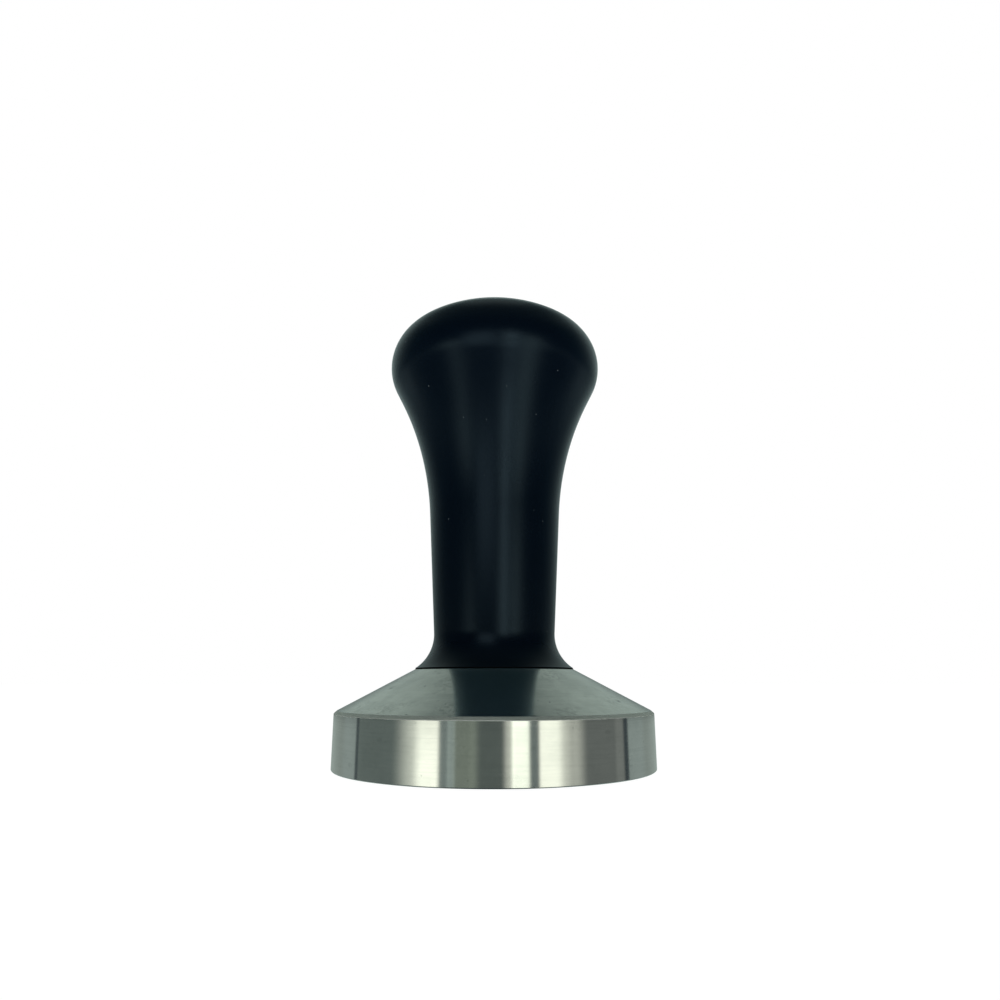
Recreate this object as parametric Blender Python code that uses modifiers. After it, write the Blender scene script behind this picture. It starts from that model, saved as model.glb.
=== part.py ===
"""Espresso tamper: a steel tamping base, a threaded stud, and a turned handle that unscrews from it.

Metres, +Z up. The origin is the centre of the flat tamping face, and +Z is the axis of the tamper.
"""

import math

import bmesh
import bpy
from mathutils import Matrix

OBJECT_NAME = "espresso_tamper"

# Driving dimensions, metres and degrees
TOTAL_HEIGHT = 0.0900
BASE_RADIUS = 0.0290
BAND_HEIGHT = 0.00945
SEAT_HEIGHT = 0.0171
SEAT_RADIUS = 0.0148
FIT_GAP = 0.0003

# Tamping base
FACE_CHAMFER = 0.00015
BAND_CHAMFER_WIDTH = 0.00055
BAND_CHAMFER_HEIGHT = 0.0005
THREAD_MOUTH_RADIUS = 0.0056

# Handle outline from the top down: each arc or straight line is tangent to the one before it.
# An angle is how far the surface's outward normal points above the horizontal.
DOME_RADIUS = 0.0300
DOME_END_ANGLE = 54.8
SHOULDER_RADIUS = 0.0092
NECK_ANGLE = -26.8
NECK_LENGTH = 0.0026
WAIST_RADIUS = 0.0600
TAPER_ANGLE = -3.15
FLARE_RADIUS = 0.0072
FLARE_END_ANGLE = 56.6

# Thread: M10 x 1.5, right-handed
PITCH = 0.0015
THREAD_MAJOR = 0.0050
THREAD_MINOR = 0.00408
THREAD_CREST = PITCH / 8
THREAD_FLANK_ANGLE = 30.0
RADIAL_CLEARANCE = 0.0003
FLANK_CLEARANCE = 0.0002
THREAD_DATUM = 0.0040
THREAD_POINT = 0.0020
THREAD_START_ANGLE = 2.8

# Where each thread is cut, in whole turns: (first turn above the datum, number of turns)
BASE_THREAD = (0, 10)
STUD_THREAD = (-1, 19)
INSERT_THREAD = (7, 13)

# Stud
STUD_BOTTOM = 0.0060
STUD_LENGTH = 0.0250
STUD_END_RADIUS = 0.0039
STUD_BLANK_RADIUS = 0.0053
SOCKET_ACROSS_FLATS = 0.0050
SOCKET_DEPTH = 0.0050

# Thread insert
INSERT_RADIUS = 0.00675
INSERT_LENGTH = 0.0150
INSERT_CHAMFER = 0.0004
INSERT_GROOVE_DEPTH = 0.0004
INSERT_GROOVE_WIDTH = 0.0014
INSERT_GROOVES = (0.30, 0.70)
POCKET_POINT_ANGLE = 31.0

# Seal ring
RING_RADIUS = 0.0092
RING_SECTION_RADIUS = 0.00075

# Facets
ROUND_STEPS = 48
BASE_STEPS = 64
SMALL_STEPS = 32
THREAD_STEPS = 16
RING_SECTION_STEPS = 8
ARC_TOLERANCE = 0.00004

# Worked out from the values above
HANDLE_BOTTOM = SEAT_HEIGHT + FIT_GAP
INSERT_BOTTOM = HANDLE_BOTTOM + FIT_GAP
INSERT_TOP = INSERT_BOTTOM + INSERT_LENGTH
STUD_TOP = STUD_BOTTOM + STUD_LENGTH
POCKET_RADIUS = INSERT_RADIUS + FIT_GAP
RING_HEIGHT = HANDLE_BOTTOM + RING_SECTION_RADIUS
RING_REACH = RING_SECTION_RADIUS + FIT_GAP


def clear_scene():
    for obj in list(bpy.data.objects):
        bpy.data.objects.remove(obj, do_unlink=True)


def new_collection(name):
    collection = bpy.data.collections.new(name)
    bpy.context.scene.collection.children.link(collection)
    return collection


def new_material(name, colour, roughness, metallic):
    material = bpy.data.materials.new(name)
    material.use_nodes = True
    material.diffuse_color = (*colour, 1.0)
    shader = material.node_tree.nodes["Principled BSDF"]
    shader.inputs["Base Color"].default_value = (*colour, 1.0)
    shader.inputs["Roughness"].default_value = roughness
    shader.inputs["Metallic"].default_value = metallic
    return material


def add_object(name, mesh, collection, material=None):
    obj = bpy.data.objects.new(name, mesh)
    collection.objects.link(obj)
    if material:
        mesh.materials.append(material)
    return obj


def move_to(obj, collection):
    for old in list(obj.users_collection):
        old.objects.unlink(obj)
    collection.objects.link(obj)


def as_cutter(obj):
    obj.hide_render = True
    obj.display_type = "WIRE"
    return obj


def turned(name, outline, steps, collection, material=None):
    """A solid of revolution about Z. The outline runs down its outer side."""
    mesh = bpy.data.meshes.new(name)
    points = [(radius, 0.0, height) for radius, height in outline]
    edges = [(i, i + 1) for i in range(len(points) - 1)]
    mesh.from_pydata(points, edges, [])
    obj = add_object(name, mesh, collection, material)
    screw = obj.modifiers.new("turn", "SCREW")
    screw.axis = "Z"
    screw.steps = steps
    screw.render_steps = steps
    screw.use_merge_vertices = True
    screw.merge_threshold = 0.00001
    screw.use_smooth_shade = True
    return obj


def boolean(obj, other, operation):
    modifier = obj.modifiers.new(f"{operation.lower()}_{other.name}", "BOOLEAN")
    modifier.operation = operation
    modifier.solver = "EXACT"
    modifier.object = other
    return modifier


def normal_at(angle):
    return math.cos(math.radians(angle)), math.sin(math.radians(angle))


def arc_to(outline, radius, start, end):
    """Extend the outline by a tangent arc between two normal angles. A negative radius is a hollow arc."""
    normal_r, normal_z = normal_at(start)
    centre_r = outline[-1][0] - radius * normal_r
    centre_z = outline[-1][1] - radius * normal_z
    widest_step = 2 * math.degrees(math.acos(1 - ARC_TOLERANCE / abs(radius)))
    steps = math.ceil(abs(end - start) / widest_step)
    for step in range(1, steps + 1):
        normal_r, normal_z = normal_at(start + (end - start) * step / steps)
        outline.append((centre_r + radius * normal_r, centre_z + radius * normal_z))


def line_to(outline, length, angle):
    """Extend the outline down a straight flank whose normal has this angle."""
    normal_r, normal_z = normal_at(angle)
    outline.append((outline[-1][0] + length * normal_z, outline[-1][1] - length * normal_r))


def handle_outer_outline():
    outline = [(0.0, TOTAL_HEIGHT)]
    arc_to(outline, DOME_RADIUS, 90.0, DOME_END_ANGLE)
    arc_to(outline, SHOULDER_RADIUS, DOME_END_ANGLE, NECK_ANGLE)
    line_to(outline, NECK_LENGTH, NECK_ANGLE)
    arc_to(outline, -WAIST_RADIUS, NECK_ANGLE, TAPER_ANGLE)
    flare_height = FLARE_RADIUS * (normal_at(FLARE_END_ANGLE)[1] - normal_at(TAPER_ANGLE)[1])
    taper_height = outline[-1][1] - HANDLE_BOTTOM - flare_height
    line_to(outline, taper_height / normal_at(TAPER_ANGLE)[0], TAPER_ANGLE)
    arc_to(outline, -FLARE_RADIUS, TAPER_ANGLE, FLARE_END_ANGLE)
    return outline


def handle_inner_outline():
    """The bottom face inwards, with the seal ring's groove and the insert's pocket."""
    groove_top = RING_HEIGHT + RING_REACH
    pocket_top = INSERT_TOP + FIT_GAP
    pocket_point = pocket_top + POCKET_RADIUS * math.tan(math.radians(POCKET_POINT_ANGLE))
    return [
        (RING_RADIUS + RING_REACH, HANDLE_BOTTOM),
        (RING_RADIUS + RING_REACH, groove_top),
        (RING_RADIUS - RING_REACH, groove_top),
        (RING_RADIUS - RING_REACH, HANDLE_BOTTOM),
        (POCKET_RADIUS, HANDLE_BOTTOM),
        (POCKET_RADIUS, pocket_top),
        (0.0, pocket_point),
    ]


def base_outline():
    """From the countersunk mouth of the threaded hole, down the outside, to the centre of the face."""
    return [
        (0.0, SEAT_HEIGHT - THREAD_MOUTH_RADIUS),
        (THREAD_MOUTH_RADIUS, SEAT_HEIGHT),
        (SEAT_RADIUS, SEAT_HEIGHT),
        (BASE_RADIUS - BAND_CHAMFER_WIDTH, BAND_HEIGHT + BAND_CHAMFER_HEIGHT),
        (BASE_RADIUS, BAND_HEIGHT),
        (BASE_RADIUS, FACE_CHAMFER),
        (BASE_RADIUS - FACE_CHAMFER, 0.0),
        (0.0, 0.0),
    ]


def stud_blank_outline():
    chamfer = STUD_BLANK_RADIUS - STUD_END_RADIUS
    return [
        (0.0, STUD_TOP),
        (STUD_END_RADIUS, STUD_TOP),
        (STUD_BLANK_RADIUS, STUD_TOP - chamfer),
        (STUD_BLANK_RADIUS, STUD_BOTTOM + chamfer),
        (STUD_END_RADIUS, STUD_BOTTOM),
        (0.0, STUD_BOTTOM),
    ]


def insert_outline():
    """A plug with countersunk ends and two retaining grooves. The thread is cut through it."""
    outline = [
        (0.0, INSERT_TOP - THREAD_MOUTH_RADIUS),
        (THREAD_MOUTH_RADIUS, INSERT_TOP),
        (INSERT_RADIUS - INSERT_CHAMFER, INSERT_TOP),
        (INSERT_RADIUS, INSERT_TOP - INSERT_CHAMFER),
    ]
    for share in INSERT_GROOVES:
        middle = INSERT_TOP - share * INSERT_LENGTH
        upper = middle + INSERT_GROOVE_WIDTH / 2
        lower = middle - INSERT_GROOVE_WIDTH / 2
        outline += [
            (INSERT_RADIUS, upper),
            (INSERT_RADIUS - INSERT_GROOVE_DEPTH, upper - INSERT_GROOVE_DEPTH),
            (INSERT_RADIUS - INSERT_GROOVE_DEPTH, lower + INSERT_GROOVE_DEPTH),
            (INSERT_RADIUS, lower),
        ]
    outline += [
        (INSERT_RADIUS, INSERT_BOTTOM + INSERT_CHAMFER),
        (INSERT_RADIUS - INSERT_CHAMFER, INSERT_BOTTOM),
        (THREAD_MOUTH_RADIUS, INSERT_BOTTOM),
        (0.0, INSERT_BOTTOM + THREAD_MOUTH_RADIUS),
    ]
    return outline


def thread_ridge(minor, major, crest):
    """One pitch of a thread's outline from its top down, with the ridge in the middle."""
    flank = (major - minor) * math.tan(math.radians(THREAD_FLANK_ANGLE))
    middle = PITCH / 2
    return [
        (minor, PITCH),
        (minor, middle + crest / 2 + flank),
        (major, middle + crest / 2),
        (major, middle - crest / 2),
        (minor, middle - crest / 2 - flank),
        (minor, 0.0),
    ]


def close_end(bm, loop, point):
    """Close a helical end with a cone of faces to one point."""
    made = bmesh.ops.extrude_edge_only(bm, edges=loop)["geom"]
    rim = [part for part in made if isinstance(part, bmesh.types.BMVert)]
    bmesh.ops.pointmerge(bm, verts=rim, merge_co=point)


def threaded_rod(name, minor, major, crest, where, collection, material=None):
    """A closed right-handed threaded rod about Z. Where is its first turn and its number of turns."""
    first_turn, turns = where
    bottom = THREAD_DATUM + first_turn * PITCH
    outline = thread_ridge(minor, major, crest)
    bm = bmesh.new()
    verts = [bm.verts.new((radius, 0.0, bottom + height)) for radius, height in outline]
    edges = [bm.edges.new(pair) for pair in zip(verts, verts[1:])]
    bmesh.ops.spin(
        bm,
        geom=verts + edges,
        cent=(0.0, 0.0, 0.0),
        axis=(0.0, 0.0, 1.0),
        dvec=(0.0, 0.0, PITCH / THREAD_STEPS),
        angle=2 * math.pi * turns,
        steps=THREAD_STEPS * turns,
    )
    bmesh.ops.remove_doubles(bm, verts=bm.verts, dist=0.000001)
    start = Matrix.Rotation(math.radians(THREAD_START_ANGLE), 3, "Z")
    bmesh.ops.rotate(bm, verts=bm.verts, cent=(0.0, 0.0, 0.0), matrix=start)
    middle = bottom + PITCH * (turns + 1) / 2
    open_edges = [edge for edge in bm.edges if edge.is_boundary]
    lower = [edge for edge in open_edges if edge.verts[0].co.z < middle]
    upper = [edge for edge in open_edges if edge.verts[0].co.z >= middle]
    close_end(bm, lower, (0.0, 0.0, bottom - THREAD_POINT))
    close_end(bm, upper, (0.0, 0.0, bottom + PITCH * (turns + 1) + THREAD_POINT))
    bmesh.ops.recalc_face_normals(bm, faces=bm.faces)
    mesh = bpy.data.meshes.new(name)
    bm.to_mesh(mesh)
    bm.free()
    return add_object(name, mesh, collection, material)


def thread_cutter(name, where, collection):
    """The stud's thread with running clearance all round, to cut an internal thread."""
    minor = THREAD_MINOR + RADIAL_CLEARANCE
    major = THREAD_MAJOR + RADIAL_CLEARANCE
    slope = math.tan(math.radians(THREAD_FLANK_ANGLE))
    crest = THREAD_CREST + 2 * FLANK_CLEARANCE - 2 * RADIAL_CLEARANCE * slope
    return as_cutter(threaded_rod(name, minor, major, crest, where, collection))


def make_base(parts, cutters):
    steel = new_material("stainless_steel", (0.55, 0.55, 0.52), 0.28, 1.0)
    base = turned("tamping_base", base_outline(), BASE_STEPS, parts, steel)
    boolean(base, thread_cutter("base_thread_cutter", BASE_THREAD, cutters), "DIFFERENCE")
    return base


def make_stud(parts, cutters):
    steel = new_material("stud_steel", (0.42, 0.42, 0.41), 0.35, 1.0)
    stud = threaded_rod(
        "threaded_stud", THREAD_MINOR, THREAD_MAJOR, THREAD_CREST, STUD_THREAD, parts, steel
    )
    blank = as_cutter(turned("stud_blank", stud_blank_outline(), SMALL_STEPS, cutters))
    boolean(stud, blank, "INTERSECT")
    bpy.ops.mesh.primitive_cylinder_add(
        vertices=6,
        radius=SOCKET_ACROSS_FLATS / math.sqrt(3),
        depth=2 * SOCKET_DEPTH,
        location=(0.0, 0.0, STUD_TOP),
    )
    socket = as_cutter(bpy.context.object)
    socket.name = "hex_socket_cutter"
    move_to(socket, cutters)
    boolean(stud, socket, "DIFFERENCE")
    return stud


def make_insert(parts, cutters):
    brass = new_material("insert_brass", (0.62, 0.48, 0.24), 0.35, 1.0)
    insert = turned("thread_insert", insert_outline(), SMALL_STEPS, parts, brass)
    boolean(insert, thread_cutter("insert_thread_cutter", INSERT_THREAD, cutters), "DIFFERENCE")
    return insert


def make_ring(parts):
    rubber = new_material("seal_rubber", (0.02, 0.02, 0.02), 0.6, 0.0)
    bpy.ops.mesh.primitive_torus_add(
        major_radius=RING_RADIUS,
        minor_radius=RING_SECTION_RADIUS,
        major_segments=ROUND_STEPS,
        minor_segments=RING_SECTION_STEPS,
        location=(0.0, 0.0, RING_HEIGHT),
    )
    ring = bpy.context.object
    ring.name = "seal_ring"
    ring.data.name = "seal_ring"
    ring.data.materials.append(rubber)
    ring.data.shade_smooth()
    move_to(ring, parts)
    return ring


def make_handle(parts):
    black = new_material("black_anodised", (0.012, 0.014, 0.016), 0.45, 0.0)
    outline = handle_outer_outline() + handle_inner_outline()
    return turned("handle", outline, ROUND_STEPS, parts, black)


def add_axis(name, parts, parent=None):
    """An empty on the tamper's axis, at the seat, that a moving body hangs from."""
    axis = bpy.data.objects.new(name, None)
    axis.empty_display_size = 0.02
    axis.location = (0.0, 0.0, SEAT_HEIGHT)
    parts.objects.link(axis)
    if parent:
        keep_in_place(axis, parent)
    return axis


def keep_in_place(child, parent):
    bpy.context.view_layer.update()
    child.parent = parent
    child.matrix_parent_inverse = parent.matrix_world.inverted()


def main():
    clear_scene()
    parts = new_collection(OBJECT_NAME)
    cutters = new_collection("cutters")
    make_base(parts, cutters)
    make_stud(parts, cutters)
    insert = make_insert(parts, cutters)
    ring = make_ring(parts)
    handle = make_handle(parts)
    lift_axis = add_axis("handle_lift_axis", parts)
    turn_axis = add_axis("handle_turn_axis", parts, lift_axis)
    keep_in_place(ring, lift_axis)
    keep_in_place(insert, turn_axis)
    keep_in_place(handle, turn_axis)


main()
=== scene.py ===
"""Espresso tamper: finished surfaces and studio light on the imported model.

Metres, +Z up. The origin is the centre of the tamping face, and +Z is the axis of the tamper.
"""

import math

import bmesh
import bpy
from mathutils import Matrix, Vector


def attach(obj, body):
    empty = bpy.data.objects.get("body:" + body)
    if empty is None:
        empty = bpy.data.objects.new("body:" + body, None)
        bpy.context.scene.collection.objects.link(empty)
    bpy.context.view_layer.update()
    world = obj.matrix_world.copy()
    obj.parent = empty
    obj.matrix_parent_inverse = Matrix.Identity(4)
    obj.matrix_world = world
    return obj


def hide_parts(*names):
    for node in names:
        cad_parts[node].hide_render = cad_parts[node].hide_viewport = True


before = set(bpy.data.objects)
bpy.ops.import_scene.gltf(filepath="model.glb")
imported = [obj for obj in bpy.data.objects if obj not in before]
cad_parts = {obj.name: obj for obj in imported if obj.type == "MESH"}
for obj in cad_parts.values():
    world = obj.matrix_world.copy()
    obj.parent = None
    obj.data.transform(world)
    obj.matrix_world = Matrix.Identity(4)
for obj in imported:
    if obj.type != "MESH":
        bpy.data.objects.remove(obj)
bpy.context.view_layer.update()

# Outside shape, metres and degrees
TOTAL_HEIGHT = 0.0900
BASE_RADIUS = 0.0290
BAND_HEIGHT = 0.00945
BAND_CHAMFER_WIDTH = 0.00055
BAND_CHAMFER_HEIGHT = 0.0005
FACE_CHAMFER = 0.00015
SEAT_HEIGHT = 0.0171
SEAT_RADIUS = 0.0148
CORNER_ROUND = 0.00022
FINE_ROUND = 0.00006
EDGE_ROUND = 0.00002
FIT_GAP = 0.0003

DOME_RADIUS = 0.0300
DOME_END_ANGLE = 54.8
SHOULDER_RADIUS = 0.0092
NECK_ANGLE = -26.8
NECK_LENGTH = 0.0026
WAIST_RADIUS = 0.0600
TAPER_ANGLE = -3.15
FLARE_RADIUS = 0.0072
FLARE_END_ANGLE = 56.6
HANDLE_BOTTOM = SEAT_HEIGHT + FIT_GAP
CONTACT_HEIGHT = SEAT_HEIGHT + 0.00003
LIP_LENGTH = 0.00013
SEAM_DEPTH = 0.00004
SEAM_REACH = 0.00036

# Inside: M10 x 1.5 thread, insert and seal ring
PITCH = 0.0015
THREAD_MAJOR = 0.0050
THREAD_MINOR = 0.00408
THREAD_CREST = PITCH / 8
THREAD_FLANK_ANGLE = 30.0
RADIAL_CLEARANCE = 0.0003
FLANK_CLEARANCE = 0.0002
THREAD_DATUM = 0.0040
THREAD_POINT = 0.0020
THREAD_ZERO_ANGLE = 2.8
THREAD_START_ANGLE = 1.9
THREAD_MOUTH_RADIUS = 0.0056
BASE_THREAD = (0, 10)
STUD_THREAD = (-1, 19)
INSERT_THREAD = (7, 13)
STUD_BOTTOM = 0.0060
STUD_TOP = 0.0310
STUD_END_RADIUS = 0.0039
STUD_BLANK_RADIUS = 0.0053
SOCKET_ACROSS_FLATS = 0.0050
SOCKET_DEPTH = 0.0050
INSERT_BOTTOM = HANDLE_BOTTOM + FIT_GAP
INSERT_LENGTH = 0.0150
INSERT_TOP = INSERT_BOTTOM + INSERT_LENGTH
INSERT_RADIUS = 0.00675
INSERT_CHAMFER = 0.0004
INSERT_GROOVE_DEPTH = 0.0004
INSERT_GROOVE_WIDTH = 0.0014
INSERT_GROOVES = (0.30, 0.70)
POCKET_RADIUS = INSERT_RADIUS + FIT_GAP
POCKET_POINT_ANGLE = 31.0
RING_RADIUS = 0.0092
RING_SECTION_RADIUS = 0.00075
RING_HEIGHT = HANDLE_BOTTOM + RING_SECTION_RADIUS
RING_REACH = RING_SECTION_RADIUS + FIT_GAP

ROUND_STEPS = 192
SMALL_STEPS = 96
RING_STEPS = 24
THREAD_STEPS = 48
ROUNDING_STEPS = 5
ARC_TOLERANCE = 0.0000015
SHARP_ANGLE = math.radians(32.0)
MERGE_DISTANCE = 0.0000001
THREAD_MERGE_DISTANCE = 0.000001
EDGE_MARGIN = 0.0001


# Outlines

def normal_at(angle):
    return math.cos(math.radians(angle)), math.sin(math.radians(angle))


def arc_to(outline, radius, start, end):
    """Extend the outline by a tangent arc between two normal angles. A negative radius is a hollow arc."""
    normal_r, normal_z = normal_at(start)
    centre_r = outline[-1][0] - radius * normal_r
    centre_z = outline[-1][1] - radius * normal_z
    widest_step = 2 * math.degrees(math.acos(1 - ARC_TOLERANCE / abs(radius)))
    steps = math.ceil(abs(end - start) / widest_step)
    for step in range(1, steps + 1):
        normal_r, normal_z = normal_at(start + (end - start) * step / steps)
        outline.append((centre_r + radius * normal_r, centre_z + radius * normal_z))


def line_to(outline, length, angle):
    """Extend the outline down a straight flank whose normal has this angle."""
    normal_r, normal_z = normal_at(angle)
    outline.append((outline[-1][0] + length * normal_z, outline[-1][1] - length * normal_r))


def rounded(corners):
    """An outline from (radius, height, rounding) corners, with a tangent arc where there is rounding."""
    points = [corners[0][:2]]
    for before, corner, after in zip(corners, corners[1:], corners[2:]):
        here = Vector(corner[:2])
        if corner[2] == 0:
            points.append(tuple(here))
            continue
        back = (Vector(before[:2]) - here).normalized()
        ahead = (Vector(after[:2]) - here).normalized()
        half = back.angle(ahead) / 2
        centre = here + (back + ahead).normalized() * corner[2] / math.sin(half)
        first = here + back * corner[2] / math.tan(half) - centre
        last = here + ahead * corner[2] / math.tan(half) - centre
        turn = first.angle_signed(last)
        for step in range(ROUNDING_STEPS + 1):
            spoke = Matrix.Rotation(-turn * step / ROUNDING_STEPS, 2) @ first
            points.append(tuple(centre + spoke))
    points.append(corners[-1][:2])
    return points


def handle_outline():
    """The knob, waist and flare, then the seating face, the ring groove and the insert's pocket."""
    outline = [(0.0, TOTAL_HEIGHT)]
    arc_to(outline, DOME_RADIUS, 90.0, DOME_END_ANGLE)
    arc_to(outline, SHOULDER_RADIUS, DOME_END_ANGLE, NECK_ANGLE)
    line_to(outline, NECK_LENGTH, NECK_ANGLE)
    arc_to(outline, -WAIST_RADIUS, NECK_ANGLE, TAPER_ANGLE)
    flare_height = FLARE_RADIUS * (normal_at(FLARE_END_ANGLE)[1] - normal_at(TAPER_ANGLE)[1])
    taper_height = outline[-1][1] - HANDLE_BOTTOM - flare_height
    line_to(outline, taper_height / normal_at(TAPER_ANGLE)[0], TAPER_ANGLE)
    arc_to(outline, -FLARE_RADIUS, TAPER_ANGLE, FLARE_END_ANGLE)
    line_to(outline, LIP_LENGTH, FLARE_END_ANGLE)
    edge = outline.pop()
    groove_top = RING_HEIGHT + RING_REACH
    pocket_top = INSERT_TOP + FIT_GAP
    pocket_point = pocket_top + POCKET_RADIUS * math.tan(math.radians(POCKET_POINT_ANGLE))
    seam_radius = edge[0] - SEAM_DEPTH
    outline += rounded(
        [
            (*outline[-1], 0),
            (*edge, EDGE_ROUND),
            (seam_radius, edge[1], 0),
            (seam_radius, CONTACT_HEIGHT, 0),
            (RING_RADIUS + RING_REACH, CONTACT_HEIGHT, 0),
            (RING_RADIUS + RING_REACH, groove_top, 0),
            (RING_RADIUS - RING_REACH, groove_top, 0),
            (RING_RADIUS - RING_REACH, CONTACT_HEIGHT, 0),
            (POCKET_RADIUS, CONTACT_HEIGHT, 0),
            (POCKET_RADIUS, pocket_top, 0),
            (0.0, pocket_point, 0),
        ]
    )[1:]
    return outline


def base_outline():
    """From the countersunk mouth of the threaded hole, down the outside, to the centre of the face."""
    return rounded(
        [
            (0.0, SEAT_HEIGHT - THREAD_MOUTH_RADIUS, 0),
            (THREAD_MOUTH_RADIUS, SEAT_HEIGHT, FINE_ROUND),
            (SEAT_RADIUS, SEAT_HEIGHT, FINE_ROUND),
            (BASE_RADIUS - BAND_CHAMFER_WIDTH, BAND_HEIGHT + BAND_CHAMFER_HEIGHT, CORNER_ROUND),
            (BASE_RADIUS, BAND_HEIGHT, CORNER_ROUND),
            (BASE_RADIUS, FACE_CHAMFER, FINE_ROUND),
            (BASE_RADIUS - FACE_CHAMFER, 0.0, FINE_ROUND),
            (0.0, 0.0, 0),
        ]
    )


def stud_blank_outline():
    chamfer = STUD_BLANK_RADIUS - STUD_END_RADIUS
    return [
        (0.0, STUD_TOP),
        (STUD_END_RADIUS, STUD_TOP),
        (STUD_BLANK_RADIUS, STUD_TOP - chamfer),
        (STUD_BLANK_RADIUS, STUD_BOTTOM + chamfer),
        (STUD_END_RADIUS, STUD_BOTTOM),
        (0.0, STUD_BOTTOM),
    ]


def insert_outline():
    """A plug with countersunk ends and two retaining grooves."""
    outline = [
        (0.0, INSERT_TOP - THREAD_MOUTH_RADIUS),
        (THREAD_MOUTH_RADIUS, INSERT_TOP),
        (INSERT_RADIUS - INSERT_CHAMFER, INSERT_TOP),
        (INSERT_RADIUS, INSERT_TOP - INSERT_CHAMFER),
    ]
    for share in INSERT_GROOVES:
        middle = INSERT_TOP - share * INSERT_LENGTH
        upper = middle + INSERT_GROOVE_WIDTH / 2
        lower = middle - INSERT_GROOVE_WIDTH / 2
        outline += [
            (INSERT_RADIUS, upper),
            (INSERT_RADIUS - INSERT_GROOVE_DEPTH, upper - INSERT_GROOVE_DEPTH),
            (INSERT_RADIUS - INSERT_GROOVE_DEPTH, lower + INSERT_GROOVE_DEPTH),
            (INSERT_RADIUS, lower),
        ]
    outline += [
        (INSERT_RADIUS, INSERT_BOTTOM + INSERT_CHAMFER),
        (INSERT_RADIUS - INSERT_CHAMFER, INSERT_BOTTOM),
        (THREAD_MOUTH_RADIUS, INSERT_BOTTOM),
        (0.0, INSERT_BOTTOM + THREAD_MOUTH_RADIUS),
    ]
    return outline


def ring_outline():
    outline = []
    for step in range(RING_STEPS):
        angle = 2 * math.pi * step / RING_STEPS
        outline.append(
            (
                RING_RADIUS + RING_SECTION_RADIUS * math.cos(angle),
                RING_HEIGHT - RING_SECTION_RADIUS * math.sin(angle),
            )
        )
    return outline + outline[:1]


# Meshes

def link(name, mesh):
    obj = bpy.data.objects.new(name, mesh)
    bpy.context.scene.collection.objects.link(obj)
    return obj


def turned(name, outline, steps):
    """A solid of revolution about Z. The outline runs down its outer side."""
    bm = bmesh.new()
    rings = []
    for radius, height in outline:
        count = steps if radius > 0 else 1
        ring = []
        for step in range(count):
            angle = 2 * math.pi * step / steps
            place = (radius * math.cos(angle), radius * math.sin(angle), height)
            ring.append(bm.verts.new(place))
        rings.append(ring)
    for upper, lower in zip(rings, rings[1:]):
        for step in range(steps):
            after = (step + 1) % steps
            corners = [upper[step % len(upper)], lower[step % len(lower)]]
            if len(lower) > 1:
                corners.append(lower[after])
            if len(upper) > 1:
                corners.append(upper[after])
            bm.faces.new(corners)
    bmesh.ops.remove_doubles(bm, verts=bm.verts, dist=MERGE_DISTANCE)
    bmesh.ops.recalc_face_normals(bm, faces=bm.faces)
    mesh = bpy.data.meshes.new(name)
    bm.to_mesh(mesh)
    bm.free()
    return link(name, mesh)


def thread_ridge(minor, major, crest):
    """One pitch of a thread's outline from its top down, with the ridge in the middle."""
    flank = (major - minor) * math.tan(math.radians(THREAD_FLANK_ANGLE))
    middle = PITCH / 2
    return [
        (minor, PITCH),
        (minor, middle + crest / 2 + flank),
        (major, middle + crest / 2),
        (major, middle - crest / 2),
        (minor, middle - crest / 2 - flank),
        (minor, 0.0),
    ]


def close_end(bm, loop, point):
    """Close a helical end with a cone of faces to one point."""
    made = bmesh.ops.extrude_edge_only(bm, edges=loop)["geom"]
    rim = [part for part in made if isinstance(part, bmesh.types.BMVert)]
    bmesh.ops.pointmerge(bm, verts=rim, merge_co=point)


def threaded_rod(name, minor, major, crest, where):
    """A closed right-handed threaded rod about Z. Where is its first turn and its number of turns."""
    first_turn, turns = where
    phase = PITCH * (THREAD_START_ANGLE - THREAD_ZERO_ANGLE) / 360
    bottom = THREAD_DATUM + first_turn * PITCH + phase
    outline = thread_ridge(minor, major, crest)
    bm = bmesh.new()
    verts = [bm.verts.new((radius, 0.0, bottom + height)) for radius, height in outline]
    edges = [bm.edges.new(pair) for pair in zip(verts, verts[1:])]
    bmesh.ops.spin(
        bm,
        geom=verts + edges,
        cent=(0.0, 0.0, 0.0),
        axis=(0.0, 0.0, 1.0),
        dvec=(0.0, 0.0, PITCH / THREAD_STEPS),
        angle=2 * math.pi * turns,
        steps=THREAD_STEPS * turns,
    )
    bmesh.ops.remove_doubles(bm, verts=bm.verts, dist=THREAD_MERGE_DISTANCE)
    start = Matrix.Rotation(math.radians(THREAD_START_ANGLE), 3, "Z")
    bmesh.ops.rotate(bm, verts=bm.verts, cent=(0.0, 0.0, 0.0), matrix=start)
    middle = bottom + PITCH * (turns + 1) / 2
    open_edges = [edge for edge in bm.edges if edge.is_boundary]
    lower = [edge for edge in open_edges if edge.verts[0].co.z < middle]
    upper = [edge for edge in open_edges if edge.verts[0].co.z >= middle]
    close_end(bm, lower, (0.0, 0.0, bottom - THREAD_POINT))
    close_end(bm, upper, (0.0, 0.0, bottom + PITCH * (turns + 1) + THREAD_POINT))
    bmesh.ops.recalc_face_normals(bm, faces=bm.faces)
    mesh = bpy.data.meshes.new(name)
    bm.to_mesh(mesh)
    bm.free()
    return link(name, mesh)


def thread_cutter(where):
    """The stud's thread with running clearance all round, to cut an internal thread."""
    minor = THREAD_MINOR + RADIAL_CLEARANCE
    major = THREAD_MAJOR + RADIAL_CLEARANCE
    slope = math.tan(math.radians(THREAD_FLANK_ANGLE))
    crest = THREAD_CREST + 2 * FLANK_CLEARANCE - 2 * RADIAL_CLEARANCE * slope
    return threaded_rod("thread_cutter", minor, major, crest, where)


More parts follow.
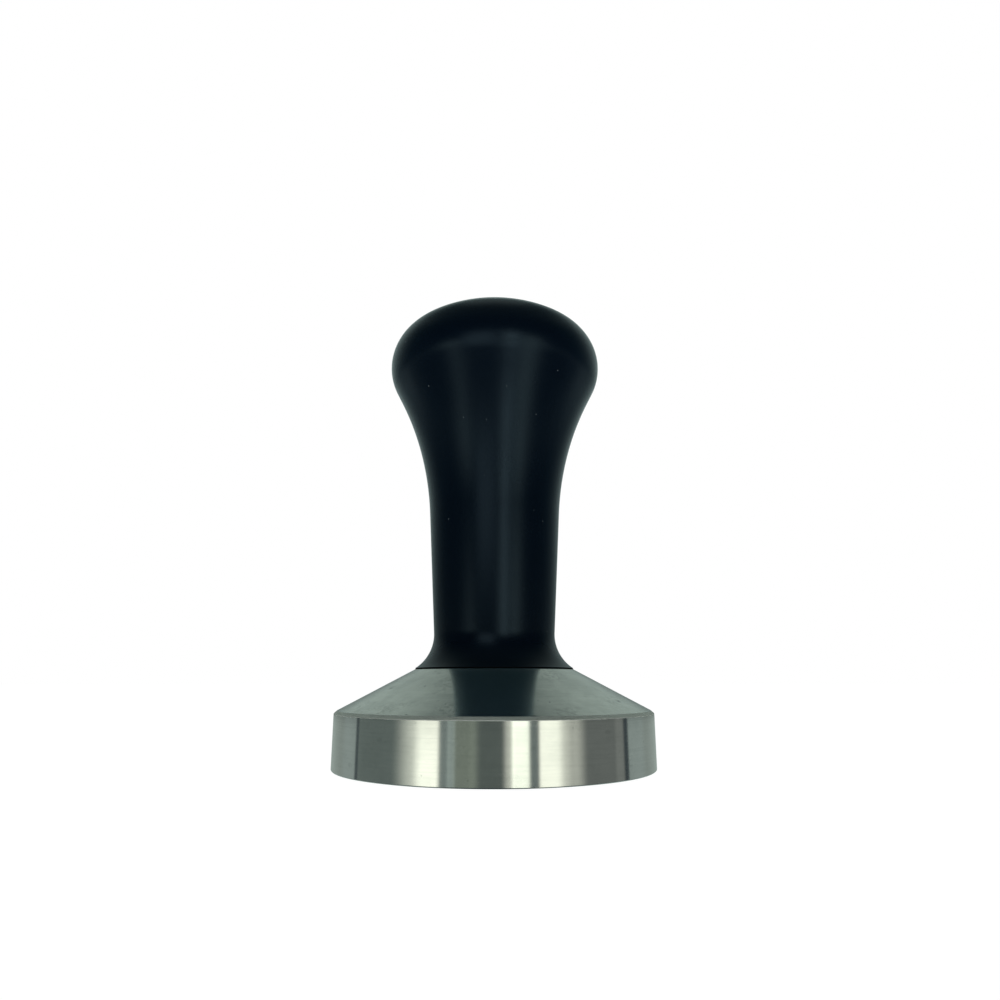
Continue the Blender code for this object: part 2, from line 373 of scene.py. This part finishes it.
def hex_socket():
    bm = bmesh.new()
    bmesh.ops.create_cone(
        bm,
        cap_ends=True,
        segments=6,
        radius1=SOCKET_ACROSS_FLATS / math.sqrt(3),
        radius2=SOCKET_ACROSS_FLATS / math.sqrt(3),
        depth=2 * SOCKET_DEPTH,
        matrix=Matrix.Translation((0.0, 0.0, STUD_TOP)),
    )
    mesh = bpy.data.meshes.new("hex_socket")
    bm.to_mesh(mesh)
    bm.free()
    return link("hex_socket", mesh)


def combine(obj, tool, operation):
    """Cut obj with the tool, or keep only what lies inside it, and remove the tool."""
    modifier = obj.modifiers.new(operation.lower(), "BOOLEAN")
    modifier.operation = operation
    modifier.solver = "EXACT"
    modifier.object = tool
    cut = obj.evaluated_get(bpy.context.evaluated_depsgraph_get())
    mesh = bpy.data.meshes.new_from_object(cut)
    obj.modifiers.clear()
    mesh.name = obj.data.name
    obj.data = mesh
    bpy.data.objects.remove(tool, do_unlink=True)


def finish_surface(obj, *materials):
    """Smooth shading between sharp edges, with the large faces keeping their own direction."""
    obj.data.materials.clear()
    for material in materials:
        obj.data.materials.append(material)
    obj.data.shade_smooth()
    obj.data.set_sharp_from_angle(angle=SHARP_ANGLE)
    weighted = obj.modifiers.new("weighted_normals", "WEIGHTED_NORMAL")
    weighted.keep_sharp = True
    weighted.weight = 100


# Materials

CONE_COLOUR = (0.72, 0.735, 0.68)
RIM_PAINTED_LIGHT_COLOUR = (0.90, 0.915, 0.85)
BAND_COLOUR = (0.725, 0.725, 0.69)
EDGE_PAINTED_LIGHT_COLOUR = (0.88, 0.95, 0.87)
STUD_COLOUR = (0.46, 0.46, 0.45)
TARNISH_COLOUR = (0.30, 0.33, 0.31)
STAIN_COLOUR = (0.13, 0.15, 0.14)
HANDLE_COLOUR = (0.0011, 0.0040, 0.0092)
DUST_COLOUR = (0.20, 0.23, 0.23)
# The seam's two colours are painted shade for the narrow gap between the handle and the base.
SEAM_PAINTED_SHADE_COLOUR = (0.0010, 0.0016, 0.0022)
SEAM_PAINTED_SHADE_PATCH_COLOUR = (0.0022, 0.0026, 0.0028)
BRASS_COLOUR = (0.62, 0.44, 0.19)
BRASS_TARNISH_COLOUR = (0.38, 0.24, 0.09)
RUBBER_COLOUR = (0.018, 0.018, 0.019)
BLOOM_COLOUR = (0.032, 0.032, 0.034)

# The steel's colour turns from the axis colour to a lighter rim colour between these radii. The lighter rim
# is painted light, for brighter reflections on the outer cone.
RIM_START = 0.0165
RIM_END = 0.0275
SMUDGE_STRENGTH = 0.70
MOTTLE_STRENGTH = 0.30
PIT_STRENGTH = 0.95

# The handle is dull up to the first height, and has its full polish from the second.
FOOT_DULL_TO = 0.0180
FOOT_DULL_FROM = 0.0225


class Tree:
    """Short calls for building a material's or a world's nodes."""

    def __init__(self, owner):
        owner.use_nodes = True
        self.nodes = owner.node_tree.nodes
        self.links = owner.node_tree.links

    def add(self, kind, inputs=None, **settings):
        node = self.nodes.new(kind)
        for name, value in settings.items():
            setattr(node, name, value)
        for name, value in (inputs or {}).items():
            self.feed(node.inputs[name], value)
        return node

    def feed(self, socket, value):
        if isinstance(value, bpy.types.NodeSocket):
            self.links.new(value, socket)
        else:
            socket.default_value = value

    def math(self, operation, first, second=None):
        inputs = {0: first}
        if second is not None:
            inputs[1] = second
        return self.add("ShaderNodeMath", inputs, operation=operation).outputs[0]

    def ramp(self, value, start, end, low=0.0, high=1.0):
        """A smooth step from low to high as the value goes from start to end."""
        inputs = {"Value": value, "From Min": start, "From Max": end, "To Min": low, "To Max": high}
        return self.add("ShaderNodeMapRange", inputs, interpolation_type="SMOOTHSTEP").outputs[0]

    def window(self, value, start, end, soft_start, soft_end):
        """1 between start and end, falling smoothly to 0 over the soft widths outside them."""
        rise = self.ramp(value, start - soft_start, start)
        fall = self.ramp(value, end, end + soft_end, 1.0, 0.0)
        return self.math("MULTIPLY", rise, fall)

    def mix(self, share, first, second):
        node = self.add("ShaderNodeMix", {0: share, 6: first, 7: second}, data_type="RGBA")
        return node.outputs[2]

    def noise(self, vector, scale, detail, roughness):
        inputs = {"Vector": vector, "Scale": scale, "Detail": detail, "Roughness": roughness}
        return self.add("ShaderNodeTexNoise", inputs).outputs["Fac"]

    def bump(self, height, distance):
        inputs = {"Height": height, "Distance": distance, "Strength": 1.0}
        return self.add("ShaderNodeBump", inputs).outputs[0]

    def specks(self, vector, spacing, size, share):
        """1 inside small round specks, in this share of cells of this spacing."""
        inputs = {"Vector": vector, "Scale": 1 / spacing}
        cells = self.add("ShaderNodeTexVoronoi", inputs)
        chosen = self.math("LESS_THAN", self.channel(cells.outputs["Color"]), share)
        near = self.ramp(cells.outputs["Distance"], size / spacing * 0.5, size / spacing, 1.0, 0.0)
        return self.math("MULTIPLY", near, chosen)

    def channel(self, vector, axis=0):
        return self.add("ShaderNodeSeparateXYZ", {0: vector}).outputs[axis]


def new_material(name, colour, roughness, metallic):
    material = bpy.data.materials.new(name)
    tree = Tree(material)
    shader = tree.nodes["Principled BSDF"]
    shader.inputs["Base Color"].default_value = (*colour, 1.0)
    shader.inputs["Roughness"].default_value = roughness
    shader.inputs["Metallic"].default_value = metallic
    return material, tree, shader


def place(tree):
    return tree.add("ShaderNodeTexCoord").outputs["Object"]


def axis_distance(tree, point):
    x, y = (tree.channel(point, axis) for axis in range(2))
    return tree.math("SQRT", tree.math("ADD", tree.math("MULTIPLY", x, x), tree.math("MULTIPLY", y, y)))


def ring_place(tree, point, along, across):
    """Coordinates for marks that run round the axis: slow along them and fine across them."""
    x, y, z = (tree.channel(point, axis) for axis in range(3))
    inputs = {
        0: tree.math("MULTIPLY", x, along),
        1: tree.math("MULTIPLY", y, along),
        2: tree.math("MULTIPLY", tree.math("ADD", axis_distance(tree, point), z), across),
    }
    return tree.add("ShaderNodeCombineXYZ", inputs).outputs[0]


def turned_steel(name, colours, roughness, spread, mark_depth, wear):
    """Steel from the lathe: fine marks round the axis, uneven polish, small pits and smudges.

    The colours are near the axis and at the rim, and a lighter rim colour paints in a brighter reflection
    towards the rim. Wear is 0 for clean steel and 1 for much handled steel.
    """
    material, tree, shader = new_material(name, colours[0], roughness, 0.989)
    point = place(tree)
    ring_point = ring_place(tree, point, along=60.0, across=9000.0)
    marks = tree.noise(ring_point, scale=1.0, detail=3.0, roughness=0.65)
    haze = tree.noise(point, scale=260.0, detail=4.0, roughness=0.6)
    patches = tree.ramp(tree.noise(point, scale=1700.0, detail=3.0, roughness=0.6), 0.40, 0.54)
    drop_point = ring_place(tree, point, along=1.0, across=1.9)
    drops = tree.specks(drop_point, spacing=0.0050, size=0.0009, share=0.60)
    smudge = tree.math("MULTIPLY", drops, patches)
    pits = tree.specks(point, spacing=0.0021, size=0.00020, share=0.80)
    areas = tree.ramp(tree.noise(point, scale=150.0, detail=2.0, roughness=0.5), 0.48, 0.62)
    spots = tree.ramp(tree.noise(point, scale=1500.0, detail=5.0, roughness=0.75), 0.46, 0.60)
    mottle = tree.math("MULTIPLY", spots, areas)
    stains = tree.math(
        "MAXIMUM",
        tree.math("MULTIPLY", smudge, SMUDGE_STRENGTH),
        tree.math("MULTIPLY", mottle, MOTTLE_STRENGTH),
    )
    dark = tree.math("MAXIMUM", stains, tree.math("MULTIPLY", pits, PIT_STRENGTH))
    # Painted light: towards the rim the steel's colour turns lighter, for a brighter reflection there.
    rim = tree.ramp(axis_distance(tree, point), RIM_START, RIM_END)
    plain = tree.mix(rim, (*colours[0], 1.0), (*colours[1], 1.0))
    streak_point = ring_place(tree, point, along=90.0, across=3600.0)
    streaks = tree.noise(streak_point, scale=1.0, detail=3.0, roughness=0.7)
    film = tree.math("MULTIPLY", tree.ramp(haze, 0.38, 0.64), 0.05 + 0.12 * wear)
    tarnish = tree.math("ADD", film, tree.ramp(streaks, 0.35, 0.75, 0.0, 0.10))
    clean = tree.mix(tarnish, plain, (*TARNISH_COLOUR, 1.0))
    worn = tree.mix(tree.math("MULTIPLY", dark, wear), clean, (*STAIN_COLOUR, 1.0))
    tree.feed(shader.inputs["Base Color"], worn)
    uneven = tree.math("ADD", tree.math("MULTIPLY", haze, spread), tree.math("MULTIPLY", marks, spread))
    tree.feed(shader.inputs["Roughness"], tree.math("ADD", uneven, roughness - spread))
    tree.feed(shader.inputs["Normal"], tree.bump(marks, mark_depth))
    return material, shader


def satin_steel():
    """The sloping top of the base, with a trace of oil and dust on it."""
    material, shader = turned_steel(
        "satin_steel", (CONE_COLOUR, RIM_PAINTED_LIGHT_COLOUR), roughness=0.115, spread=0.05, mark_depth=0.0000015, wear=1.0
    )
    shader.inputs["Sheen Weight"].default_value = 0.10
    shader.inputs["Sheen Roughness"].default_value = 0.7
    shader.inputs["Sheen Tint"].default_value = (0.35, 0.85, 1.0, 1.0)
    return material


def polished_steel():
    """The bright band round the base."""
    colours = (BAND_COLOUR, BAND_COLOUR)
    return turned_steel(
        "polished_steel", colours, roughness=0.080, spread=0.045, mark_depth=0.0000018, wear=0.2
    )[0]


def edge_steel():
    """The broken edge above the band, dull from the tool. Its lighter colour and half-metal finish are
    painted light, for the light the edge catches.
    """
    colours = (EDGE_PAINTED_LIGHT_COLOUR, EDGE_PAINTED_LIGHT_COLOUR)
    material, shader = turned_steel(
        "edge_steel", colours, roughness=0.55, spread=0.06, mark_depth=0.0000020, wear=0.3
    )
    # Partly metal, so the painted lighter colour shows as diffuse light on the edge.
    shader.inputs["Metallic"].default_value = 0.58
    return material


def stud_steel():
    colours = (STUD_COLOUR, STUD_COLOUR)
    return turned_steel("stud_finish", colours, roughness=0.28, spread=0.08, mark_depth=0.000003, wear=0.3)[0]


def black_handle_finish():
    """Soft matte black with a fine grain, a little dust, faint handling wear and a duller foot."""
    material, tree, shader = new_material("matte_black", HANDLE_COLOUR, 0.28, 0.0)
    point = place(tree)
    grain = tree.noise(point, scale=5200.0, detail=2.0, roughness=0.6)
    wear = tree.noise(point, scale=130.0, detail=4.0, roughness=0.6)
    dust = tree.specks(point, spacing=0.0022, size=0.00011, share=0.50)
    tree.feed(shader.inputs["Base Color"], tree.mix(dust, (*HANDLE_COLOUR, 1.0), (*DUST_COLOUR, 1.0)))
    uneven = tree.math("ADD", tree.math("MULTIPLY", grain, 0.06), tree.math("MULTIPLY", wear, 0.05))
    facing = tree.add("ShaderNodeLayerWeight", {"Blend": 0.5}).outputs["Facing"]
    sheen = tree.ramp(facing, 0.35, 0.85, 0.205, 0.08)
    foot = tree.ramp(tree.channel(point, 2), FOOT_DULL_TO, FOOT_DULL_FROM, 0.16, 0.0)
    tree.feed(shader.inputs["Roughness"], tree.math("ADD", uneven, tree.math("ADD", sheen, foot)))
    tree.feed(shader.inputs["Normal"], tree.bump(grain, 0.000018))
    shader.inputs["Sheen Weight"].default_value = 0.15
    shader.inputs["Sheen Roughness"].default_value = 0.34
    shader.inputs["Sheen Tint"].default_value = (0.42, 0.85, 1.0, 1.0)
    shader.inputs["Specular IOR Level"].default_value = 0.29
    shader.inputs["Specular Tint"].default_value = (0.56, 0.81, 1.0, 1.0)
    return material


def painted_seam_shade_finish():
    """The dull wall of the narrow seam between the handle and the base, painted near-black as the shade in
    the seam, with faint lighter patches.
    """
    material, tree, shader = new_material("painted_shade_seam", SEAM_PAINTED_SHADE_COLOUR, 0.8, 0.0)
    shade_patches = tree.noise(place(tree), scale=900.0, detail=3.0, roughness=0.6)
    tree.feed(shader.inputs["Base Color"], tree.mix(shade_patches, (*SEAM_PAINTED_SHADE_COLOUR, 1.0), (*SEAM_PAINTED_SHADE_PATCH_COLOUR, 1.0)))
    shader.inputs["Specular IOR Level"].default_value = 0.05
    return material


def brass_finish():
    material, tree, shader = new_material("turned_brass", BRASS_COLOUR, 0.28, 1.0)
    point = place(tree)
    ring_point = ring_place(tree, point, along=60.0, across=7000.0)
    marks = tree.noise(ring_point, scale=1.0, detail=3.0, roughness=0.65)
    tarnish = tree.ramp(tree.noise(point, scale=420.0, detail=4.0, roughness=0.6), 0.45, 0.75)
    shade = tree.mix(tarnish, (*BRASS_COLOUR, 1.0), (*BRASS_TARNISH_COLOUR, 1.0))
    tree.feed(shader.inputs["Base Color"], shade)
    tree.feed(shader.inputs["Roughness"], tree.ramp(marks, 0.2, 0.8, 0.20, 0.36))
    tree.feed(shader.inputs["Normal"], tree.bump(marks, 0.000004))
    return material


def rubber_finish():
    material, tree, shader = new_material("seal_rubber", RUBBER_COLOUR, 0.58, 0.0)
    bloom = tree.noise(place(tree), scale=900.0, detail=4.0, roughness=0.6)
    tree.feed(shader.inputs["Base Color"], tree.mix(bloom, (*RUBBER_COLOUR, 1.0), (*BLOOM_COLOUR, 1.0)))
    tree.feed(shader.inputs["Roughness"], tree.ramp(bloom, 0.2, 0.8, 0.50, 0.68))
    tree.feed(shader.inputs["Normal"], tree.bump(bloom, 0.000006))
    return material


# Studio

# The lens and sensor are in millimetres, and the tilt is up from level, in degrees.
CAMERA_PLACE = (0.00107, -0.1391, 0.01507)
CAMERA_TILT = 14.05
CAMERA_LENS = 26.0
CAMERA_SENSOR = 36.0
CAMERA_CLIP = 0.005

FRONT_GLOW_PLACE = (-0.030, -0.114, 0.068)
FRONT_GLOW_WIDTH = 0.060
FRONT_GLOW_HEIGHT = 0.057
FRONT_GLOW_POWER = 0.0080

FLOOR_RADIUS = 3.0
FLOOR_DROP = 0.00005
FLOOR_GLOW = 0.985
FLOOR_GREY = 0.25

def new_camera():
    """Just above the bench, a hand's breadth away, looking up at the tamper."""
    camera = bpy.data.objects.new("camera", bpy.data.cameras.new("camera"))
    camera.data.lens = CAMERA_LENS
    camera.data.sensor_width = CAMERA_SENSOR
    camera.data.clip_start = CAMERA_CLIP
    camera.location = CAMERA_PLACE
    camera.rotation_euler = (math.radians(90.0 + CAMERA_TILT), 0.0, 0.0)
    bpy.context.scene.collection.objects.link(camera)
    bpy.context.scene.camera = camera


# Each panel: name, azimuth from and to, soft widths, strength, colour, and how it reaches up and down.
# Azimuth 0 is the front, and positive is to the right, in degrees. A reach is the height from and to, and
# the soft widths below and above. The panel of negative strength dims the foot of the key window.
WARM = (0.97, 1.00, 0.87)
PLAIN = (0.96, 1.00, 0.94)
GREY = (0.87, 1.00, 0.80)
COOL = (0.83, 1.00, 0.86)
OLIVE = (0.87, 1.00, 0.77)
BLUE_GREY = (0.82, 0.98, 0.90)
SKY = (0.93, 0.95, 1.00)
BENCH = (0.65, 0.87, 1.00)
TALL = (-30.0, 1.0, 25.0, 13.0)
LEFT = (-30.0, -9.0, 25.0, 14.0)
KEY = (-6.0, 7.0, 38.0, 9.0)
LOW = (-8.4, -2.6, 2.0, 2.0)
PANELS = (
    ("left_window", -47.5, -37.8, 8.5, 3.2, 0.70, WARM, LEFT),
    ("left_window_low", -47.0, -37.8, 25.5, 3.2, 0.80, WARM, LOW),
    ("left_mullion", -34.8, -30.5, 2.0, 2.4, 0.205, BLUE_GREY, LOW),
    ("left_slit", -28.8, -26.6, 2.4, 2.4, 0.32, BLUE_GREY, LOW),
    ("front_left", -24.0, -15.5, 3.6, 8.0, 0.192, OLIVE, LOW),
    ("front", -12.0, 4.0, 5.0, 4.0, 0.078, GREY, LOW),
    ("key_edge", 9.8, 12.0, 5.0, 2.4, 0.56, WARM, KEY),
    ("key_window", 13.6, 22.6, 2.8, 1.8, 2.50, PLAIN, KEY),
    ("key_low", 13.6, 22.6, 2.8, 1.8, -1.12, SKY, LOW),
    ("right_mullion", 24.6, 28.6, 1.8, 2.0, 0.145, BLUE_GREY, LOW),
    ("right_window", 31.1, 41.3, 2.0, 12.3, 1.32, WARM, TALL),
    ("right_tail", 52.0, 55.0, 6.0, 11.0, 0.39, WARM, LOW),
    ("left_wall", -103.8, -60.0, 0.7, 20.0, 0.112, COOL, LOW),
    ("right_wall", 60.0, 98.0, 20.0, 1.5, 0.112, WARM, LOW),
    ("right_wall_end", 91.5, 97.0, 3.0, 2.0, 0.055, PLAIN, LOW),
    ("bench_edge", -120.0, 120.0, 10.0, 10.0, 0.045, BENCH, LOW),
)
BACKDROP_LEFT, BACKDROP_RIGHT = 107.0, 103.0
BACKDROP = (0.85, 1.00, 0.93)
CEILING = (0.88, 1.00, 0.95)
ROOM = (0.008, 0.012, 0.014)


def studio_light():
    """Tall soft windows in front, a dim ceiling and a grey backdrop that reaches over the top."""
    world = bpy.data.worlds.new("studio")
    bpy.context.scene.world = world
    tree = Tree(world)
    tree.nodes.clear()
    direction = tree.add("ShaderNodeTexCoord").outputs["Generated"]
    x, y, z = (tree.channel(direction, axis) for axis in range(3))
    azimuth = tree.math("DEGREES", tree.math("ARCTAN2", x, tree.math("MULTIPLY", y, -1.0)))
    height = tree.math("DEGREES", tree.math("ARCSINE", z))
    levels = {reach: tree.window(height, *reach) for reach in (TALL, LEFT, KEY, LOW)}
    total = ROOM
    for name, start, end, soft_start, soft_end, strength, colour, reach in PANELS:
        across = tree.window(azimuth, start, end, soft_start, soft_end)
        share = tree.math("MULTIPLY", across, levels[reach])
        total = add_glow(tree, total, name, tuple(strength * c for c in colour), share)
    middle = tree.ramp(tree.math("ABSOLUTE", x), 0.12, 0.30, 1.0, 0.0)
    share = backdrop_share(tree, azimuth, height, y, middle, levels[LOW])
    total = add_glow(tree, total, "backdrop", BACKDROP, share)
    back = tree.math("MULTIPLY", tree.ramp(y, -0.15, 0.20), tree.ramp(z, 0.80, 0.95, 0.0, 0.14))
    total = add_glow(tree, total, "overhead", CEILING, tree.math("MULTIPLY", middle, back))
    front = tree.math("MULTIPLY", tree.ramp(z, 0.62, 0.85), tree.ramp(y, -0.25, 0.25, 0.05, 0.0))
    total = add_glow(tree, total, "ceiling", CEILING, front)
    room = tree.add("ShaderNodeBackground", {"Color": total}).outputs[0]
    white = tree.add("ShaderNodeBackground", {"Color": (1.0, 1.0, 1.0, 1.0)}).outputs[0]
    seen = tree.add("ShaderNodeLightPath").outputs["Is Camera Ray"]
    mixed = tree.add("ShaderNodeMixShader", {0: seen, 1: room, 2: white}).outputs[0]
    tree.add("ShaderNodeOutputWorld", {"Surface": mixed})


def backdrop_share(tree, azimuth, height, y, middle, low):
    """The backdrop behind the tamper, with crisp sides near the bench. It reaches forward overhead."""
    left_edge = tree.ramp(azimuth, -BACKDROP_LEFT, -BACKDROP_LEFT - 1.0)
    right_edge = tree.ramp(azimuth, BACKDROP_RIGHT, BACKDROP_RIGHT + 1.0)
    low_edge = tree.math("MULTIPLY", tree.math("MAXIMUM", left_edge, right_edge), low)
    sides = tree.math("MAXIMUM", low_edge, tree.ramp(tree.math("ABSOLUTE", azimuth), 96.0, 142.0))
    over = tree.math("MAXIMUM", sides, tree.ramp(height, 35.0, 60.0))
    depth = tree.math("ADD", tree.ramp(y, -0.25, 0.25, 0.0, 0.295), tree.ramp(y, 0.60, 1.00, 0.0, 0.09))
    near_bench = tree.ramp(height, -3.2, -1.0, 1.0, 0.0)
    bottom = tree.math("MAXIMUM", near_bench, tree.ramp(height, 3.0, 22.0, 0.50, 1.0))
    top = tree.ramp(height, 40.0, 62.0, 1.0, 0.16)
    fade = tree.math("MULTIPLY", top, tree.math("MULTIPLY", bottom, tree.ramp(height, -85.0, -50.0)))
    beam = tree.math("MULTIPLY", middle, tree.ramp(height, 41.0, 52.0, 0.0, 0.30))
    share = tree.math("MULTIPLY", tree.math("MULTIPLY", over, fade), depth)
    return tree.math("MULTIPLY", share, tree.math("ADD", beam, 1.0))


def add_glow(tree, total, name, colour, share):
    inputs = {0: colour, "Scale": share}
    glow = tree.add("ShaderNodeVectorMath", inputs, operation="SCALE", label=name).outputs[0]
    return tree.add("ShaderNodeVectorMath", {0: total, 1: glow}, operation="ADD").outputs[0]


def new_floor():
    """A white bench that shows only a trace of shadow, and is clear from below."""
    bm = bmesh.new()
    bmesh.ops.create_circle(bm, cap_ends=True, segments=64, radius=FLOOR_RADIUS)
    mesh = bpy.data.meshes.new("floor")
    bm.to_mesh(mesh)
    bm.free()
    floor = link("floor", mesh)
    floor.location.z = -FLOOR_DROP
    floor.visible_glossy = False
    material = bpy.data.materials.new("white_bench")
    tree = Tree(material)
    tree.nodes.clear()
    white = (1.0, 1.0, 1.0, 1.0)
    grey = (FLOOR_GREY, FLOOR_GREY, FLOOR_GREY, 1.0)
    glow = tree.add("ShaderNodeEmission", {"Color": white, "Strength": FLOOR_GLOW}).outputs[0]
    matte = tree.add("ShaderNodeBsdfDiffuse", {"Color": grey}).outputs[0]
    both = tree.add("ShaderNodeAddShader", {0: glow, 1: matte}).outputs[0]
    clear = tree.add("ShaderNodeBsdfTransparent").outputs[0]
    below = tree.add("ShaderNodeNewGeometry").outputs["Backfacing"]
    surface = tree.add("ShaderNodeMixShader", {0: below, 1: both, 2: clear}).outputs[0]
    tree.add("ShaderNodeOutputMaterial", {"Surface": surface})
    mesh.materials.append(material)


def front_glow():
    """A soft light in front of the knob, for the arch across the knob and the glow on the waist."""
    data = bpy.data.lights.new("front_glow", "AREA")
    data.shape = "RECTANGLE"
    data.size = FRONT_GLOW_WIDTH
    data.size_y = FRONT_GLOW_HEIGHT
    data.energy = FRONT_GLOW_POWER
    data.color = (0.95, 1.00, 0.98)
    light = bpy.data.objects.new("front_glow", data)
    light.location = FRONT_GLOW_PLACE
    light.rotation_euler = (math.radians(90.0), 0.0, 0.0)
    light.visible_camera = False
    bpy.context.scene.collection.objects.link(light)


# Pieces

def make_base():
    base = turned("base_body", base_outline(), ROUND_STEPS)
    combine(base, thread_cutter(BASE_THREAD), "DIFFERENCE")
    finish_surface(base, satin_steel(), polished_steel(), edge_steel())
    chamfer_foot = BAND_HEIGHT - EDGE_MARGIN
    chamfer_top = BAND_HEIGHT + BAND_CHAMFER_HEIGHT
    for face in base.data.polygons:
        middle = face.center
        if math.hypot(middle.x, middle.y) > BASE_RADIUS - BAND_CHAMFER_WIDTH:
            if chamfer_foot < middle.z < chamfer_top:
                face.material_index = 2
            elif FACE_CHAMFER < middle.z < chamfer_foot:
                face.material_index = 1
    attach(base, "base")
    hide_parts("tamping_base")


def make_stud():
    stud = threaded_rod("stud", THREAD_MINOR, THREAD_MAJOR, THREAD_CREST, STUD_THREAD)
    combine(stud, turned("stud_blank", stud_blank_outline(), SMALL_STEPS), "INTERSECT")
    combine(stud, hex_socket(), "DIFFERENCE")
    finish_surface(stud, stud_steel())
    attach(stud, "base")
    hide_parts("threaded_stud")


def make_insert():
    insert = turned("insert", insert_outline(), SMALL_STEPS)
    combine(insert, thread_cutter(INSERT_THREAD), "DIFFERENCE")
    finish_surface(insert, brass_finish())
    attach(insert, "grip")
    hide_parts("thread_insert")


def make_ring():
    ring = turned("ring", ring_outline(), SMALL_STEPS)
    finish_surface(ring, rubber_finish())
    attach(ring, "seal")
    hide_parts("seal_ring")


def make_handle():
    handle = turned("grip_body", handle_outline(), ROUND_STEPS)
    finish_surface(handle, black_handle_finish(), painted_seam_shade_finish())
    for face in handle.data.polygons:
        middle = face.center
        outside = math.hypot(middle.x, middle.y) > SEAT_RADIUS - SEAM_REACH
        # Faces of the seam's wall take the second material, painted near-black as shade.
        if outside and middle.z < HANDLE_BOTTOM - LIP_LENGTH / 2 and face.normal.z < 0.1:
            face.material_index = 1
    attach(handle, "grip")
    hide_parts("handle")


new_camera()
studio_light()
new_floor()
front_glow()
make_base()
make_stud()
make_insert()
make_ring()
make_handle()
bpy.context.scene.view_settings.view_transform = "Standard"
